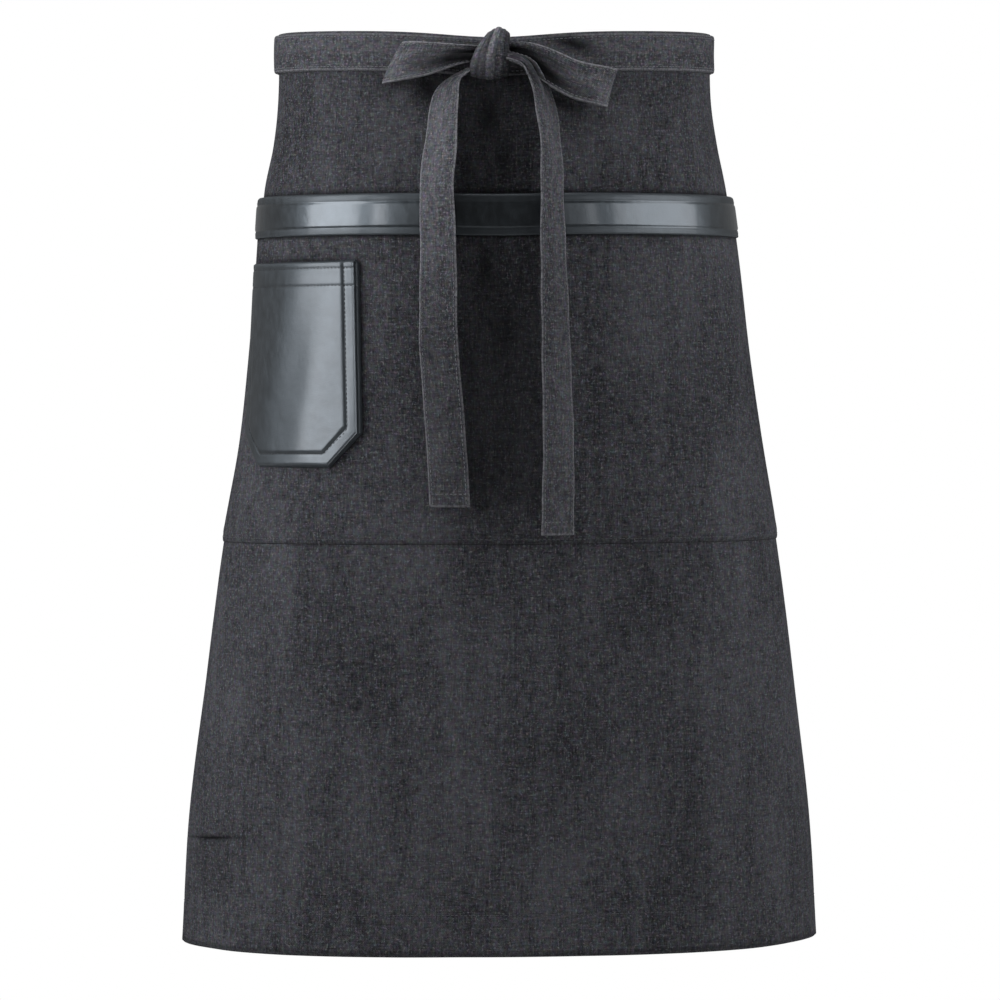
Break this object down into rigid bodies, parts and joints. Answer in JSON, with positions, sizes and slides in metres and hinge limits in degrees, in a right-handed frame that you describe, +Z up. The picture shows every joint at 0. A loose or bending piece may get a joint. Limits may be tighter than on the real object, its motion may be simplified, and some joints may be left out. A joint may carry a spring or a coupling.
{
  "type": "waist apron",
  "caption": "Long waist apron of dark denim with a wide patch pocket edged in leather, a small leather pocket and a front-tied bow.",
  "frame": {"origin": "middle of the waist opening, half way up the waistband", "axes": "+Z up, +X on the viewer's right as the front is faced, the front faces -Y"},
  "size_m": [0.4836, 0.276, 0.692],
  "materials": {
    "denim": "charcoal slub denim, matt",
    "tie_denim": "charcoal slub denim, doubled and topstitched",
    "leather": "smooth black leather with a soft gloss"
  },
  "bodies": {
    "root": {"skirt_panel": "denim", "waistband": "denim", "patch_pocket": "denim", "pocket_trim": "leather", "leather_pocket": "leather", "tie_round_right": "tie_denim", "tie_round_left": "tie_denim", "bow_knot": "tie_denim", "bow_loop_left": "tie_denim", "bow_loop_right": "tie_denim", "tie_tail_left": "tie_denim", "tie_tail_right": "tie_denim"}
  },
  "joints": []
}
